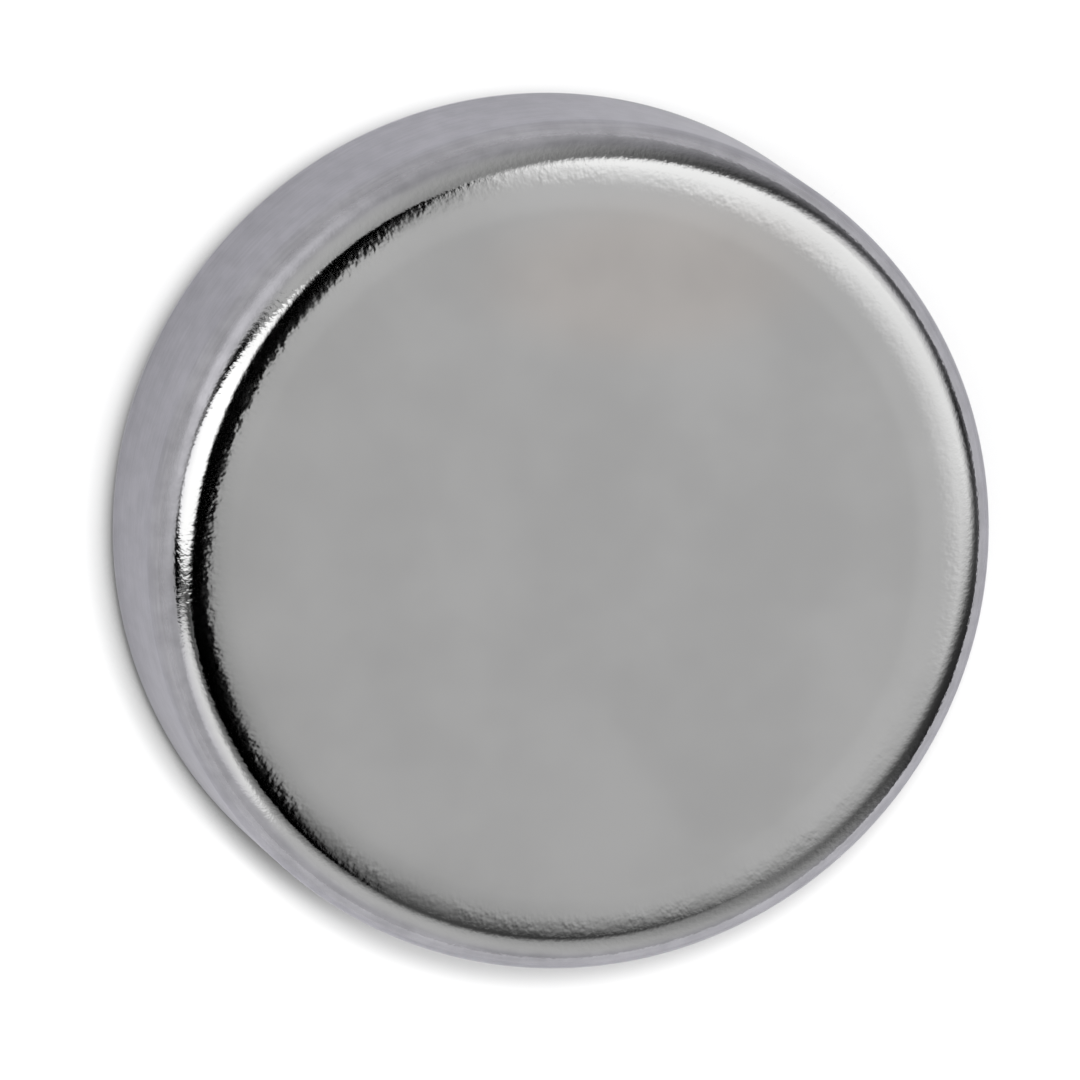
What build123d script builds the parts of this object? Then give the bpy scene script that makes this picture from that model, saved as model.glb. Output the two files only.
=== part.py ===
from build123d import *

import os
from math import radians, sin

# Disc magnet: one plated and tumbled piece, magnetised through its thickness.
# It lies on its lower pole face. The origin is that face's centre, and +Z is the disc's axis.
# Lengths are millimetres, and the angle is in degrees.

diameter = 10.0
thickness = 3.0
corner_radius = 0.52
shoulder_radius = 5.0
shoulder_fall = 6.5

# Tumbling rounds each pole face's edge twice: a wide, faint shoulder falls away from the flat until
# it slopes by shoulder_fall, and there it runs on tangentially into the corner, down to the wall.
radius = diameter / 2
half_thickness = thickness / 2
corner_reach = corner_radius * (1 - sin(radians(shoulder_fall)))
shoulder_reach = shoulder_radius * sin(radians(shoulder_fall))
flat_radius = radius - corner_reach - shoulder_reach

# The section is drawn at half height, so that the lower half is the upper one's mirror image.
section_plane = Plane(origin=(0, 0, half_thickness), x_dir=(1, 0, 0), z_dir=(0, -1, 0))

with BuildPart() as disc_magnet:
    with BuildSketch(section_plane) as section:
        with BuildLine() as outline:
            pole_face = Line((0, half_thickness), (flat_radius, half_thickness))
            shoulder = JernArc(pole_face @ 1, pole_face % 1, shoulder_radius, -shoulder_fall)
            corner = JernArc(shoulder @ 1, shoulder % 1, corner_radius, shoulder_fall - 90)
            mirror(about=Plane.XZ)
            side_wall = Line(corner @ 1, (radius, -(corner @ 1).Y))
            centre_line = Line(pole_face @ 0, (0, -half_thickness))
        make_face()
    revolve(axis=Axis.Z)

disc_magnet.part.label = "disc_magnet"

os.makedirs("parts", exist_ok=True)
export_step(disc_magnet.part, "parts/disc_magnet.step")
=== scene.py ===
"""Nickel-plated disc magnet lying on a white table, shown as a small product shot.

Lengths are metres and angles are radians, unless a name says otherwise. The camera looks almost
straight down, so world +X is about the picture's right and world +Y about its top.
"""

import logging
from dataclasses import dataclass, field
from enum import Enum
from math import cos, pi, radians, sin

import bmesh
import bpy
from mathutils import Matrix, Vector


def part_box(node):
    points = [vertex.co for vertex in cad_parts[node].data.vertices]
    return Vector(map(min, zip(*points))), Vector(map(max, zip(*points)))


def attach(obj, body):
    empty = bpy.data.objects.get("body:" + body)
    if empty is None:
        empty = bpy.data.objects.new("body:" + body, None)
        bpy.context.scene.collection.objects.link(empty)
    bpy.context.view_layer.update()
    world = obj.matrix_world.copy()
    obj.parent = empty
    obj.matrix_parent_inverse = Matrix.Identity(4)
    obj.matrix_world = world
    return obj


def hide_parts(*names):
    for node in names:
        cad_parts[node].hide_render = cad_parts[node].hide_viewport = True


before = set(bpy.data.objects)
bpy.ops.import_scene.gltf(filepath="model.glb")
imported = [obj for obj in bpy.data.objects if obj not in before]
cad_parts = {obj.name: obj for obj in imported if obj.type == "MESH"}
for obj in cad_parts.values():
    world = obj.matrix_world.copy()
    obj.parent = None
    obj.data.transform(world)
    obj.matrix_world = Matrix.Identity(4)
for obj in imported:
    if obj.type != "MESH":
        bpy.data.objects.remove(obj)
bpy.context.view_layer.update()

Socket = bpy.types.NodeSocket
Value = float | Vector | Socket | tuple[float, ...]
Colour = tuple[float, float, float, float]
PerAxis = tuple[float, float, float]
Span = tuple[float, float]

MM = 0.001
WHITE: Colour = (1.0, 1.0, 1.0, 1.0)

log = logging.getLogger("disc_magnet")


def direction(azimuth: float, zenith: float) -> Vector:
    """Turn a pair of angles into a unit vector.

    Args:
        azimuth: Angle from +X towards +Y.
        zenith: Angle down from +Z.

    Returns:
        The unit vector that points that way.
    """
    return Vector((sin(zenith) * cos(azimuth), sin(zenith) * sin(azimuth), cos(zenith)))


class Graph:
    """Short calls for adding and joining the nodes of one material or world."""

    def __init__(self, tree: bpy.types.NodeTree) -> None:
        """Take over a node tree and empty it.

        Args:
            tree: The tree of a material or a world.
        """
        self.tree = tree
        self.tree.nodes.clear()

    def node(self, kind: str, **settings: object) -> bpy.types.Node:
        """Add a node and set its own settings.

        Args:
            kind: Blender's name for the node type.
            **settings: Properties of the node, such as operation.

        Returns:
            The new node.
        """
        made = self.tree.nodes.new(kind)
        for name, value in settings.items():
            setattr(made, name, value)
        return made

    def feed(self, socket: Socket, value: Value) -> None:
        """Give an input a constant, or link it to an output.

        Args:
            socket: The input to feed.
            value: A number, a tuple, or an output socket.
        """
        if isinstance(value, Socket):
            self.tree.links.new(value, socket)
        else:
            socket.default_value = value

    def _calculation(
        self, kind: str, operation: str, values: tuple[Value, ...]
    ) -> bpy.types.Node:
        """Add a Math or Vector Math node and feed its inputs.

        Args:
            kind: Blender's name for the node type.
            operation: Its operation, such as MULTIPLY.
            values: What its inputs get, in order.

        Returns:
            The new node.
        """
        made = self.node(kind, operation=operation)
        for socket, value in zip(made.inputs, values):
            self.feed(socket, value)
        return made

    def math(self, operation: str, *values: Value) -> Socket:
        """Add a Math node and return its result."""
        return self._calculation("ShaderNodeMath", operation, values).outputs["Value"]

    def vector(self, operation: str, *values: Value) -> Socket:
        """Add a Vector Math node and return its vector, as for MULTIPLY."""
        return self._calculation("ShaderNodeVectorMath", operation, values).outputs["Vector"]

    def measure(self, operation: str, *values: Value) -> Socket:
        """Add a Vector Math node and return its number, as for LENGTH."""
        return self._calculation("ShaderNodeVectorMath", operation, values).outputs["Value"]

    def scaled(self, vector: Value, factor: Value) -> Socket:
        """Multiply a vector or a colour by a number.

        Args:
            vector: The vector or colour.
            factor: The number.

        Returns:
            The scaled vector or colour.
        """
        made = self._calculation("ShaderNodeVectorMath", "SCALE", (vector,))
        self.feed(made.inputs["Scale"], factor)
        return made.outputs["Vector"]

    def ramp(self, value: Value, start: float, end: float) -> Socket:
        """Add a Map Range node that eases from 0 at start to 1 at end.

        Args:
            value: The number to map.
            start: Where the result is 0.
            end: Where the result is 1. It may lie below start.

        Returns:
            The mapped number, kept between 0 and 1.
        """
        made = self.node("ShaderNodeMapRange", interpolation_type="SMOOTHSTEP")
        self.feed(made.inputs["Value"], value)
        self.feed(made.inputs["From Min"], start)
        self.feed(made.inputs["From Max"], end)
        return made.outputs["Result"]

    def blend(self, share: Value, first: Value, second: Value) -> Socket:
        """Add a Mix node for colours.

        Args:
            share: How much of the second colour shows, from 0 to 1.
            first: The colour at 0.
            second: The colour at 1.

        Returns:
            The mixed colour.
        """
        made = self.node("ShaderNodeMix", data_type="RGBA")
        self.feed(made.inputs["Factor"], share)
        self.feed(made.inputs[6], first)
        self.feed(made.inputs[7], second)
        return made.outputs[2]

    def mix(self, share: Value, first: Value, second: Value) -> Socket:
        """Add a Mix node for numbers.

        Args:
            share: How much of the second number counts, from 0 to 1.
            first: The number at 0.
            second: The number at 1.

        Returns:
            The mixed number.
        """
        made = self.node("ShaderNodeMix", data_type="FLOAT")
        self.feed(made.inputs["Factor"], share)
        self.feed(made.inputs[2], first)
        self.feed(made.inputs[3], second)
        return made.outputs[0]

    def noise(self, where: Value, layers: float) -> Socket:
        """Add a Noise texture with about one feature per unit of its coordinates.

        Args:
            where: The coordinates to read it at.
            layers: How many finer layers it adds.

        Returns:
            Its factor, around 0.5.
        """
        made = self.node("ShaderNodeTexNoise")
        self.feed(made.inputs["Vector"], where)
        self.feed(made.inputs["Scale"], 1.0)
        self.feed(made.inputs["Detail"], layers)
        return made.outputs["Fac"]

    def output(self, kind: str, surface: Socket) -> None:
        """Add the output node and show a surface with it."""
        self.feed(self.node(kind).inputs["Surface"], surface)


class Piece(Enum):
    """Names of the pieces, as the table of pieces gives them."""

    MAGNET = "disc_magnet_plated"
    FLOOR = "floor"


def add_piece(
    piece: Piece, shape: bmesh.types.BMesh, material: bpy.types.Material
) -> bpy.types.Object:
    """Make an object of a finished bmesh, and add it to the scene.

    Args:
        piece: Which piece it is.
        shape: The bmesh, which is freed.
        material: The finish all over it.

    Returns:
        The piece's object.
    """
    mesh = bpy.data.meshes.new(piece.value)
    shape.to_mesh(mesh)
    shape.free()
    mesh.materials.append(material)
    made = bpy.data.objects.new(piece.value, mesh)
    bpy.context.scene.collection.objects.link(made)
    return made


class Spot:
    """Where on the magnet a point of its surface is, as nodes that give millimetres."""

    def __init__(self, graph: Graph, magnet: "DiscMagnet") -> None:
        """Add the nodes that read the point's place.

        Args:
            graph: The plating's graph.
            magnet: The magnet, whose sizes say where its shoulders, corners and wall are.
        """
        self.graph = graph
        self.magnet = magnet
        metres = graph.node("ShaderNodeTexCoord").outputs["Object"]
        self.place = graph.scaled(metres, 1 / MM)
        self.plan = graph.vector("MULTIPLY", self.place, (1.0, 1.0, 0.0))
        self.off_axis = graph.measure("LENGTH", self.plan)
        parts = graph.node("ShaderNodeSeparateXYZ")
        graph.feed(parts.inputs["Vector"], self.place)
        self.height = parts.outputs["Z"]

    def edge_share(self, start: float, end: float) -> Socket:
        """Say how far out along the shoulder the point is.

        Args:
            start: Where the result is 0, as a share of the way along the shoulder.
            end: Where the result is 1, as such a share. Past the shoulder it is more than 1.

        Returns:
            0 on the flat, rising to 1 at the edge.
        """
        inner, outer = self.magnet.flat_radius / MM, self.magnet.corner_start.x / MM
        reach = outer - inner
        return self.graph.ramp(self.off_axis, inner + start * reach, inner + end * reach)

    def wall_share(self, start: float, end: float) -> Socket:
        """Say how far from the nearer pole face and down its corner the point is.

        Args:
            start: Where the result is 0, in corner radii from the face.
            end: Where the result is 1, in corner radii from the face.

        Returns:
            0 on the faces, rising to 1 on the wall.
        """
        above = self.graph.math("SUBTRACT", self.height, self.magnet.middle / MM)
        away = self.graph.math("ABSOLUTE", above)
        top = self.magnet.thickness / 2 / MM
        corner = self.magnet.corner_radius / MM
        return self.graph.ramp(away, top - start * corner, top - end * corner)

    def foot_share(self, start: float, end: float) -> Socket:
        """Return 1 near the table and 0 above start, with both heights in corner radii."""
        corner = self.magnet.corner_radius / MM
        return self.graph.ramp(self.height, start * corner, end * corner)


@dataclass(frozen=True)
class Grain:
    """A noise with its own number of features per millimetre along each axis."""

    per_mm: PerAxis
    layers: float

    def level(self, spot: Spot) -> Socket:
        """Return the noise at a spot, around 0.5."""
        return spot.graph.noise(spot.graph.vector("MULTIPLY", spot.place, self.per_mm), self.layers)


@dataclass(frozen=True)
class Tone(Grain):
    """A noise that darkens and lightens a colour, from its dark to its light factor.

    Its span is the part of the noise that goes from all dark to all light.
    """

    dark: float
    light: float
    span: Span = (0.3, 0.7)

    def shown(self, spot: Spot, colour: Socket, share: Value) -> Socket:
        """Darken and lighten a colour by the noise.

        Args:
            spot: The point's place on the magnet.
            colour: The colour without the noise.
            share: How much of the change shows, from 0 to 1.

        Returns:
            The changed colour.
        """
        graph = spot.graph
        factor = graph.mix(graph.ramp(self.level(spot), *self.span), self.dark, self.light)
        return graph.scaled(colour, graph.mix(share, 1.0, factor))


@dataclass(frozen=True)
class NickelPlating:
    """Nickel plating: satin on the pole faces and the wall, brighter and pitted on the edges."""

    slot: str = "nickel_plating"

    # Colours of the faces, the wall and what shows at a grazing angle, and the noises in them. The
    # wall's is partly its own duller tone and partly painted shade: darker and lavender, like the
    # shaded table it mirrors.
    face_colour: Colour = (0.44, 0.44, 0.438, 1.0)
    wall_tone_and_painted_reflection: Colour = (0.308, 0.304, 0.323, 1.0)
    edge_tint: Colour = (0.74, 0.735, 0.775, 1.0)
    clouds: Tone = Tone((0.55, 0.55, 0.55), 4.0, 0.95, 1.05)
    mottles: Tone = Tone((4.5, 4.5, 2.0), 3.0, 0.93, 1.07)
    lines: Tone = Tone((1.2, 1.2, 16.0), 3.0, 0.94, 1.06)

    # A warm oval patch, which fades out over a span given in shares of its reach.
    warm_tint: Colour = (1.06, 1.015, 0.985, 1.0)
    warm_centre_mm: PerAxis = (0.7, 3.2, 0.0)
    warm_reach_mm: PerAxis = (1.9, 0.9, 100.0)
    warm_span: Span = (1.3, 0.5)

    face_roughness: float = 0.2
    corner_roughness: float = 0.06
    wall_roughness: float = 0.3
    foot_roughness: float = 0.08

    # Where the polish, nicks and pits begin and end, as shares of the way along the shoulder.
    polish_span: Span = (0.0, 0.35)
    nick_span: Span = (0.3, 0.75)
    pit_span: Span = (0.8, 1.25)

    # Where the wall's colour, with its painted shade, and its satin begin and end, in corner radii
    # from the nearer face.
    wall_tone_and_reflection_span: Span = (0.12, 0.27)
    wall_satin_span: Span = (0.25, 0.6)

    # Where the polish at the foot begins and ends, in corner radii above the table.
    foot_span: Span = (1.1, 1.02)

    # Relief. Heights are counted in height_unit.
    height_unit: float = 0.001 * MM
    grain: Grain = Grain((14.0, 14.0, 14.0), 3.0)
    grain_height: float = 0.2
    nicks_per_mm: tuple[float, float] = (13.0, 12.0)
    nick_layers: float = 1.0
    nick_height: float = 1.5
    nick_patches: Grain = Grain((2.5, 2.5, 2.5), 1.0)
    nick_patch_span: Span = (0.35, 0.65)
    nick_patch_least: float = 0.45
    pits: Grain = Grain((19.0, 19.0, 19.0), 2.0)
    pit_height: float = 2.0
    ridge_height: float = 0.6

    def material(self, magnet: "DiscMagnet") -> bpy.types.Material:
        """Make the plating for one magnet.

        Args:
            magnet: The magnet, whose sizes place the wall and the edges.

        Returns:
            The material.
        """
        material = bpy.data.materials.new(self.slot)
        material.use_nodes = True
        graph = Graph(material.node_tree)
        spot = Spot(graph, magnet)
        satin = spot.wall_share(*self.wall_satin_span)
        shader = graph.node("ShaderNodeBsdfPrincipled")
        shader.inputs["Metallic"].default_value = 1.0
        shader.inputs["Specular Tint"].default_value = self.edge_tint
        graph.feed(shader.inputs["Base Color"], self._colour(spot))
        graph.feed(shader.inputs["Roughness"], self._roughness(spot, satin))
        graph.feed(shader.inputs["Normal"], self._relief(spot, satin))
        graph.output("ShaderNodeOutputMaterial", shader.outputs["BSDF"])
        return material

    def _colour(self, spot: Spot) -> Socket:
        """Work out the colour: cloudy, mottled and lined on the wall, and warm in one patch. The
        wall is darker and lavender, partly its own tone and partly painted shade of the table it
        mirrors.

        Args:
            spot: The point's place on the magnet.

        Returns:
            The plating's colour.
        """
        graph = spot.graph
        wall = spot.wall_share(*self.wall_tone_and_reflection_span)
        # The wall's colour holds painted shade, a darker and lavender reflection of the shaded
        # table, besides its own duller tone.
        colour = graph.blend(wall, self.face_colour, self.wall_tone_and_painted_reflection)
        colour = self.clouds.shown(spot, colour, 1.0)
        colour = self.mottles.shown(spot, colour, wall)
        colour = self.lines.shown(spot, colour, wall)
        from_centre = graph.vector("SUBTRACT", spot.place, self.warm_centre_mm)
        away = graph.measure("LENGTH", graph.vector("DIVIDE", from_centre, self.warm_reach_mm))
        warmth = graph.blend(graph.ramp(away, *self.warm_span), WHITE, self.warm_tint)
        return graph.vector("MULTIPLY", colour, warmth)

    def _roughness(self, spot: Spot, satin: Socket) -> Socket:
        """Work out the roughness: satin faces and wall, with polished corners between them.

        Args:
            spot: The point's place on the magnet.
            satin: How much of the wall's satin shows there.

        Returns:
            The plating's roughness.
        """
        graph = spot.graph
        polished = spot.edge_share(*self.polish_span)
        rim = graph.mix(polished, self.face_roughness, self.corner_roughness)
        upper = graph.mix(satin, rim, self.wall_roughness)
        return graph.mix(spot.foot_share(*self.foot_span), upper, self.foot_roughness)

    def _relief(self, spot: Spot, satin: Socket) -> Socket:
        """Work out the relief: grain all over, nicks on the shoulder, pits and ridges outside it.

        Args:
            spot: The point's place on the magnet.
            satin: How much of the wall's ridges shows there.

        Returns:
            The normal that the relief gives.
        """
        graph = spot.graph
        pitted = spot.edge_share(*self.pit_span)
        shoulder = graph.math("SUBTRACT", spot.edge_share(*self.nick_span), pitted)
        patches = graph.ramp(self.nick_patches.level(spot), *self.nick_patch_span)
        patches = graph.mix(patches, self.nick_patch_least, 1.0)
        layers = (
            (self.grain.level(spot), 1.0, self.grain_height),
            (self._nicks(spot), graph.math("MULTIPLY", patches, shoulder), self.nick_height),
            (self.pits.level(spot), pitted, self.pit_height),
            (self.mottles.level(spot), satin, self.ridge_height),
        )
        height: Value = 0.0
        for noise, share, tallest in layers:
            part = graph.math("MULTIPLY", noise, graph.math("MULTIPLY", share, tallest))
            height = graph.math("ADD", height, part)
        bump = graph.node("ShaderNodeBump")
        bump.inputs["Distance"].default_value = self.height_unit
        graph.feed(bump.inputs["Height"], height)
        return bump.outputs["Normal"]

    def _nicks(self, spot: Spot) -> Socket:
        """Work out a noise of short radial nicks, narrow round the disc and longer outwards.

        Args:
            spot: The point's place on the magnet.

        Returns:
            The noise, around 0.5.
        """
        graph = spot.graph
        around, outwards = self.nicks_per_mm
        bearing = graph.vector("NORMALIZE", spot.plan)
        rise = graph.node("ShaderNodeCombineXYZ")
        graph.feed(rise.inputs["Z"], graph.math("MULTIPLY", spot.off_axis, outwards))
        rim = graph.scaled(bearing, around * spot.magnet.radius / MM)
        return graph.noise(graph.vector("ADD", rim, rise.outputs["Vector"]), self.nick_layers)


@dataclass(frozen=True)
class ContactShade:
    """How the table darkens where the magnet stands close by, on the side away from the light.

    Attributes:
        reach: How far away the magnet still counts.
        azimuth: Which way the light that it keeps off would come from.
        tilt: How far that is from straight overhead.
        depth: How strong the shade is.
        power: How fast it gathers towards the magnet.
        darkest: The least light that is left.
        rays: How many rays look for the magnet.
    """

    reach: float
    azimuth: float
    tilt: float
    depth: float
    power: float
    darkest: float
    rays: int = 8

    def openness(self, graph: Graph) -> Socket:
        """Say how open each point of the table is.

        Args:
            graph: The table's graph.

        Returns:
            1 in the open, and less the more of the magnet is near.
        """
        nearby = graph.node("ShaderNodeAmbientOcclusion", samples=self.rays)
        nearby.inputs["Distance"].default_value = self.reach
        lean = graph.vector("NORMALIZE", direction(self.azimuth, self.tilt))
        graph.feed(nearby.inputs["Normal"], lean)
        shut = graph.math("SUBTRACT", 1.0, nearby.outputs["AO"])
        shade = graph.math("MULTIPLY", graph.math("POWER", shut, self.power), self.depth)
        return graph.math("MAXIMUM", graph.math("SUBTRACT", 1.0, shade), self.darkest)


@dataclass(frozen=True)
class WhiteTable:
    """Smooth white table top, darker where the magnet keeps the light from it."""

    whiteness: float = 0.81
    backlight: float = 0.06
    roughness: float = 0.8
    shades: tuple[ContactShade, ...] = (
        ContactShade(0.5 * MM, radians(66.0), radians(50.0), 1.3, 1.8, 0.1),
        ContactShade(0.3 * MM, radians(45.0), radians(45.0), 2.5, 2.5, 0.15),
    )

    def material(self, magnet: "DiscMagnet") -> bpy.types.Material:
        """Make the table top, with the shades worked out only where the magnet is near.

        Args:
            magnet: The magnet that lies on it.

        Returns:
            The material.
        """
        material = bpy.data.materials.new("white_table")
        material.use_nodes = True
        graph = Graph(material.node_tree)
        glow = graph.math("MULTIPLY", self._seen(graph), self.backlight)
        bare = self._surface(graph, (self.whiteness, self.whiteness, self.whiteness, 1.0), glow)
        openness: Value = 1.0
        for shade in self.shades:
            openness = graph.math("MULTIPLY", openness, shade.openness(graph))
        shaded = self._surface(
            graph,
            graph.math("MULTIPLY", openness, self.whiteness),
            graph.math("MULTIPLY", openness, glow),
        )
        place = graph.node("ShaderNodeTexCoord").outputs["Object"]
        reach = magnet.radius + max(shade.reach for shade in self.shades)
        near = graph.math("LESS_THAN", graph.measure("LENGTH", place), reach)
        choice = graph.node("ShaderNodeMixShader")
        for socket, value in zip(choice.inputs, (near, bare, shaded)):
            graph.feed(socket, value)
        graph.output("ShaderNodeOutputMaterial", choice.outputs["Shader"])
        return material

    def _surface(self, graph: Graph, colour: Value, glow: Socket) -> Socket:
        """Make a matt surface that also glows a little.

        Args:
            graph: The table's graph.
            colour: Its colour, or one number for a grey.
            glow: How brightly it glows.

        Returns:
            The surface's shader.
        """
        matt = graph.node("ShaderNodeBsdfDiffuse")
        matt.inputs["Roughness"].default_value = self.roughness
        graph.feed(matt.inputs["Color"], colour)
        glowing = graph.node("ShaderNodeEmission")
        graph.feed(glowing.inputs["Strength"], glow)
        both = graph.node("ShaderNodeAddShader")
        graph.feed(both.inputs[0], matt.outputs["BSDF"])
        graph.feed(both.inputs[1], glowing.outputs["Emission"])
        return both.outputs["Shader"]

    def _seen(self, graph: Graph) -> Socket:
        """Tell the rays that show the table from those that only light other things.

        Args:
            graph: The table's graph.

        Returns:
            1 for rays that see it straight, mirrored or through glass, and 0 for others.
        """
        path = graph.node("ShaderNodeLightPath").outputs
        straight = graph.math("MAXIMUM", path["Is Camera Ray"], path["Is Glossy Ray"])
        return graph.math("MAXIMUM", straight, path["Is Transmission Ray"])


@dataclass
class DiscMagnet:
    """The magnet: a disc whose edges were rounded in the tumbler before it was plated.

    The radii and the fall of its edges repeat the CAD part's, and its other sizes are read off it.
    """

    node: str = "disc_magnet"
    body: str = "root"
    corner_radius: float = 0.52 * MM
    shoulder_radius: float = 5.0 * MM
    shoulder_fall: float = radians(6.5)
    face_steps: int = 8
    shoulder_steps: int = 8
    corner_steps: int = 34
    wall_steps: int = 6
    quarter_steps: int = 150
    merge_distance: float = 0.001 * MM
    finish: NickelPlating = field(default_factory=NickelPlating)

    def __post_init__(self) -> None:
        """Read the disc's radius and thickness off the CAD node, and place its edges."""
        lowest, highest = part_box(self.node)
        self.radius = (highest.x - lowest.x) / 2
        self.thickness = highest.z - lowest.z
        self.middle = (highest.z + lowest.z) / 2
        self.top = self.middle + self.thickness / 2
        corner_reach = self.corner_radius * (1 - sin(self.shoulder_fall))
        shoulder_reach = self.shoulder_radius * sin(self.shoulder_fall)
        shoulder_drop = self.shoulder_radius * (1 - cos(self.shoulder_fall))
        self.flat_radius = self.radius - corner_reach - shoulder_reach
        self.corner_start = Vector((self.radius - corner_reach, 0, self.top - shoulder_drop))

    def build(self) -> bpy.types.Object:
        """Make the magnet's mesh, dress it and put it in the frame.

        Returns:
            The magnet's object.
        """
        shape = bmesh.new()
        self._upper_section(shape)
        self._mirror_down(shape)
        self._turn(shape)
        magnet = add_piece(Piece.MAGNET, shape, self.finish.material(self))
        magnet.data.shade_smooth()
        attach(magnet, self.body)
        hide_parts(self.node)
        return magnet

    def _upper_section(self, shape: bmesh.types.BMesh) -> None:
        """Draw the upper half of the section, from the axis over the edge to half height.

        Args:
            shape: The empty bmesh to draw in.
        """
        shoulder_centre = Vector((self.flat_radius, 0, self.top - self.shoulder_radius))
        inwards = direction(0, self.shoulder_fall) * self.corner_radius
        corner_centre = self.corner_start - inwards
        tip = shape.verts.new((0, 0, self.top))
        tip = self._straight(shape, tip, Vector((self.flat_radius, 0, self.top)), self.face_steps)
        tip = self._arc(shape, tip, shoulder_centre, self.shoulder_fall, self.shoulder_steps)
        tip = self._arc(shape, tip, corner_centre, pi / 2 - self.shoulder_fall, self.corner_steps)
        self._straight(shape, tip, Vector((self.radius, 0, self.middle)), self.wall_steps)

    def _straight(
        self, shape: bmesh.types.BMesh, tip: bmesh.types.BMVert, end: Vector, steps: int
    ) -> bmesh.types.BMVert:
        """Draw the section on in a straight line.

        Args:
            shape: The bmesh that holds the section.
            tip: The section's last point.
            end: Where the line ends.
            steps: How many edges it has.

        Returns:
            The section's new last point.
        """
        step = (end - tip.co) / steps
        for _ in range(steps):
            tip = bmesh.ops.extrude_vert_indiv(shape, verts=[tip])["verts"][0]
            bmesh.ops.translate(shape, verts=[tip], vec=step)
        return tip

    def _arc(
        self,
        shape: bmesh.types.BMesh,
        tip: bmesh.types.BMVert,
        centre: Vector,
        angle: float,
        steps: int,
    ) -> bmesh.types.BMVert:
        """Draw the section on in an arc that bends down.

        Args:
            shape: The bmesh that holds the section.
            tip: The section's last point.
            centre: The arc's centre.
            angle: How far it turns.
            steps: How many edges it has.

        Returns:
            The section's new last point.
        """
        turned = bmesh.ops.spin(
            shape, geom=[tip], cent=centre, axis=(0, 1, 0), angle=angle, steps=steps
        )
        return next(part for part in turned["geom_last"] if isinstance(part, bmesh.types.BMVert))

    def _mirror_down(self, shape: bmesh.types.BMesh) -> None:
        """Add the lower half of the section, as the upper one's mirror image.

        Args:
            shape: The bmesh that holds the upper half.
        """
        bmesh.ops.mirror(
            shape,
            geom=shape.verts[:] + shape.edges[:],
            matrix=Matrix.Translation((0, 0, -self.middle)),
            merge_dist=self.merge_distance,
            axis="Z",
        )

    def _turn(self, shape: bmesh.types.BMesh) -> None:
        """Turn the whole section about the axis, and close the disc at its poles.

        A quarter turn is spun and mirrored twice, because a full spin of this many steps is slow.

        Args:
            shape: The bmesh that holds the section.
        """
        bmesh.ops.spin(
            shape,
            geom=shape.verts[:] + shape.edges[:],
            cent=(0, 0, 0),
            axis=(0, 0, 1),
            angle=pi / 2,
            steps=self.quarter_steps,
        )
        for axis in ("X", "Y"):
            bmesh.ops.mirror(
                shape,
                geom=shape.verts[:] + shape.edges[:] + shape.faces[:],
                matrix=Matrix.Identity(4),
                merge_dist=self.merge_distance,
                axis=axis,
            )
        bmesh.ops.remove_doubles(shape, verts=shape.verts[:], dist=self.merge_distance)
        bmesh.ops.recalc_face_normals(shape, faces=shape.faces[:])


@dataclass
class Table:
    """The table top under the magnet."""

    reach: float = 0.6
    finish: WhiteTable = field(default_factory=WhiteTable)

    def build(self, magnet: DiscMagnet) -> bpy.types.Object:
        """Make the table top.

        Args:
            magnet: The magnet that lies on it.

        Returns:
            The table top's object.
        """
        shape = bmesh.new()
        bmesh.ops.create_grid(shape, x_segments=1, y_segments=1, size=self.reach)
        table = add_piece(Piece.FLOOR, shape, self.finish.material(magnet))
        return table


@dataclass(frozen=True)
class Panel:
    """A soft-edged oval on the dome of light: a softbox where bright, a black flag where dark.

    Attributes:
        name: What it is.
        azimuth_deg: Which way its centre lies.
        zenith_deg: How far its centre is from straight up.
        across_deg: How far it reaches to each side of its centre.
        down_deg: How far it reaches above and below its centre.
        edge: How soft its edge is, as a share of its reach.
        radiance: How bright it is, where 1 shows as white.
    """

    name: str
    azimuth_deg: float
    zenith_deg: float
    across_deg: float
    down_deg: float
    edge: float
    radiance: float

    def share(self, graph: Graph, ray: Socket) -> Socket:
        """Say how much of this panel a ray sees.

        Args:
            graph: The world's graph.
            ray: The direction that is looked in.

        Returns:
            1 inside the panel and 0 outside it.
        """
        azimuth, zenith = radians(self.azimuth_deg), radians(self.zenith_deg)
        centre = direction(azimuth, zenith)
        down = direction(azimuth, zenith + pi / 2)
        across = centre.cross(down)
        wide = graph.measure("DOT_PRODUCT", ray, across / sin(radians(self.across_deg)))
        deep = graph.measure("DOT_PRODUCT", ray, down / sin(radians(self.down_deg)))
        squares = graph.math("MULTIPLY_ADD", wide, wide, graph.math("MULTIPLY", deep, deep))
        inside = graph.ramp(graph.math("SQRT", squares), 1 + self.edge, 1 - self.edge)
        ahead = graph.math("GREATER_THAN", graph.measure("DOT_PRODUCT", ray, centre), 0.0)
        return graph.math("MULTIPLY", inside, ahead)


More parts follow.
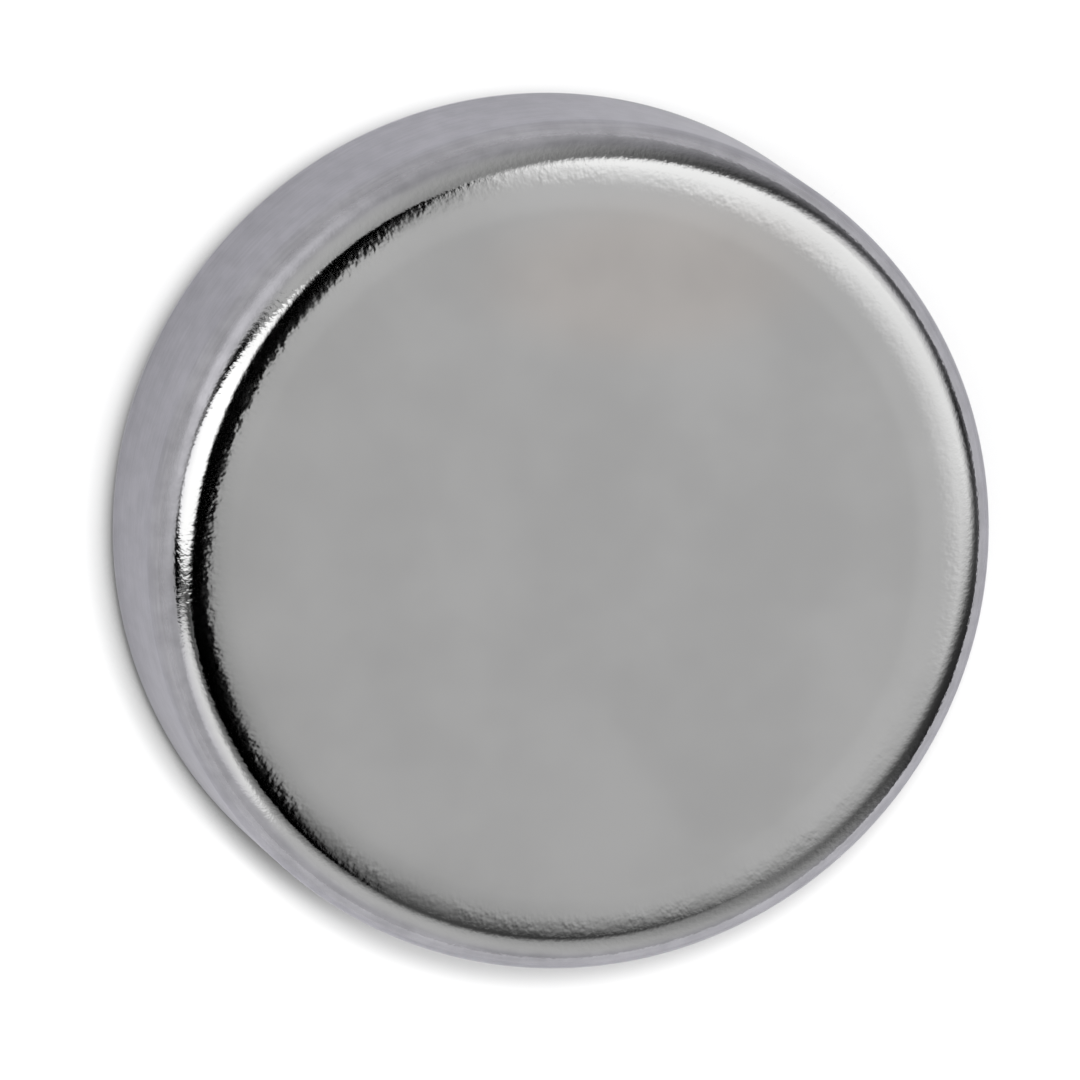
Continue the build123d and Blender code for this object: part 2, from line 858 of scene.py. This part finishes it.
@dataclass
class LightTent:
    """The dome of light round the table: a pale tent with softboxes and black flags in it.

    Later panels hang in front of earlier ones. They end just above the table, at the plain skirt.
    """

    top_radiance: float = 0.9
    low_radiance: float = 1.04
    top_ends_deg: float = 20.0
    low_starts_deg: float = 80.0
    skirt_deg: Span = (87.6, 88.6)
    panels: tuple[Panel, ...] = (
        Panel("ceiling_flag", 290.5, 14.0, 14.5, 21.0, 0.28, 0.0),
        Panel("key_flag", 8.0, 51.5, 49.5, 43.0, 0.5, 0.0),
        Panel("key_diffuser", 19.0, 44.0, 16.5, 27.5, 0.42, 1.44),
        Panel("key_softbox", 16.0, 32.0, 18.5, 21.5, 0.2, 1.86),
        Panel("key_wing", 352.0, 41.5, 16.0, 23.5, 0.6, 1.68),
        Panel("side_flag", 188.5, 37.5, 28.0, 19.0, 0.16, 0.0),
        Panel("fill_softbox", 222.0, 50.5, 14.0, 18.5, 0.24, 1.53),
        Panel("right_flag", 334.0, 92.0, 15.0, 45.0, 0.6, 0.06),
        Panel("ceiling_card", 321.5, 16.5, 10.8, 12.5, 0.35, 0.955),
        Panel("bottom_flag", 247.5, 22.0, 18.0, 12.8, 0.95, 0.2),
        Panel("lens_flag", 234.0, 8.2, 8.0, 18.0, 0.08, 0.0),
        Panel("lens_flag_wing", 212.0, 12.3, 24.0, 9.3, 0.08, 0.0),
        Panel("side_strip", 155.0, 69.0, 26.0, 14.0, 0.8, 1.65),
        Panel("side_softbox", 177.5, 27.5, 12.3, 24.5, 0.15, 2.33),
    )

    def build(self) -> bpy.types.World:
        """Make the tent as the scene's world.

        Its light is even enough to be found by the rays that leave each surface, which is quicker.

        Returns:
            The world.
        """
        world = bpy.data.worlds.new("light_tent")
        world.use_nodes = True
        world.cycles.sampling_method = "NONE"
        graph = Graph(world.node_tree)
        ray = graph.node("ShaderNodeTexCoord").outputs["Generated"]
        parts = graph.node("ShaderNodeSeparateXYZ")
        graph.feed(parts.inputs["Vector"], ray)
        up = parts.outputs["Z"]
        top, low = cos(radians(self.top_ends_deg)), cos(radians(self.low_starts_deg))
        plain = graph.mix(graph.ramp(up, top, low), self.top_radiance, self.low_radiance)
        light = plain
        for panel in self.panels:
            light = graph.mix(panel.share(graph, ray), light, panel.radiance)
        hung, skirt = (cos(radians(angle)) for angle in self.skirt_deg)
        background = graph.node("ShaderNodeBackground")
        graph.feed(background.inputs["Color"], graph.mix(graph.ramp(up, skirt, hung), plain, light))
        graph.output("ShaderNodeOutputWorld", background.outputs["Background"])
        bpy.context.scene.world = world
        return world


@dataclass
class TableLamp:
    """A soft lamp near the camera, which shades the table and isn't mirrored by the magnet.

    With a share of 1 it would light a white table to white by itself.
    """

    azimuth: float = radians(124.5)
    zenith: float = radians(18.2)
    width: float = radians(7.0)
    share: float = 0.6

    def build(self) -> bpy.types.Object:
        """Make the lamp as a wide sun.

        Returns:
            The lamp's object.
        """
        light = bpy.data.lights.new("table_lamp", type="SUN")
        light.energy = self.share * pi
        light.angle = self.width
        lamp = bpy.data.objects.new("table_lamp", light)
        lamp.rotation_mode = "QUATERNION"
        aim = direction(self.azimuth, self.zenith)
        lamp.rotation_quaternion = Vector((0, 0, 1)).rotation_difference(aim)
        lamp.visible_glossy = False
        bpy.context.scene.collection.objects.link(lamp)
        return lamp


@dataclass
class ProductCamera:
    """The camera, almost overhead, with the magnet's shown wall to the upper left.

    The last three sizes are in the photograph's pixels: its width, the disc's diameter in it, and
    where the middle of the disc lies in it, from its upper left.
    """

    azimuth: float = radians(141.7)
    zenith: float = radians(16.4)
    distance: float = 0.25
    sensor_mm: float = 36.0
    clip_factor: float = 10.0
    picture_px: float = 1080.0
    disc_px: float = 859.1
    centre_px: tuple[float, float] = (550.8, 530.2)

    def build(self, magnet: DiscMagnet) -> bpy.types.Object:
        """Place the camera so that the magnet has its size and place in the picture.

        Args:
            magnet: The magnet that it looks at.

        Returns:
            The camera's object.
        """
        back = direction(self.azimuth, self.zenith)
        turn = Vector((0, 0, 1)).rotation_difference(back)
        pixel = 2 * magnet.radius / self.disc_px
        right = (self.centre_px[0] - self.picture_px / 2) * pixel
        up = (self.picture_px / 2 - self.centre_px[1]) * pixel
        aim = Vector((0, 0, magnet.middle)) - turn @ Vector((right, up, 0))
        lens = bpy.data.cameras.new("camera")
        lens.sensor_width = self.sensor_mm
        lens.lens = self.sensor_mm * self.distance / (pixel * self.picture_px)
        lens.clip_start = self.distance / self.clip_factor
        lens.clip_end = self.distance * self.clip_factor
        camera = bpy.data.objects.new("camera", lens)
        camera.rotation_mode = "QUATERNION"
        camera.rotation_quaternion = turn
        camera.location = aim + back * self.distance
        bpy.context.scene.collection.objects.link(camera)
        bpy.context.scene.camera = camera
        return camera


def main() -> None:
    """Build the magnet, its table, the light and the camera, and report each piece."""
    logging.basicConfig(level=logging.INFO, format="%(message)s")
    magnet = DiscMagnet()
    shown = magnet.build()
    log.info("%s: %d faces", shown.name, len(shown.data.polygons))
    table = Table().build(magnet)
    log.info("%s: stage", table.name)
    tent = LightTent()
    tent.build()
    log.info("light tent: %d panels", len(tent.panels))
    lamp = TableLamp().build()
    log.info("%s: %.2f of white", lamp.name, lamp.data.energy / pi)
    camera = ProductCamera().build(magnet)
    log.info("camera: %.0f mm lens", camera.data.lens)
    bpy.context.scene.view_settings.view_transform = "Standard"


if __name__ == "__main__":
    main()
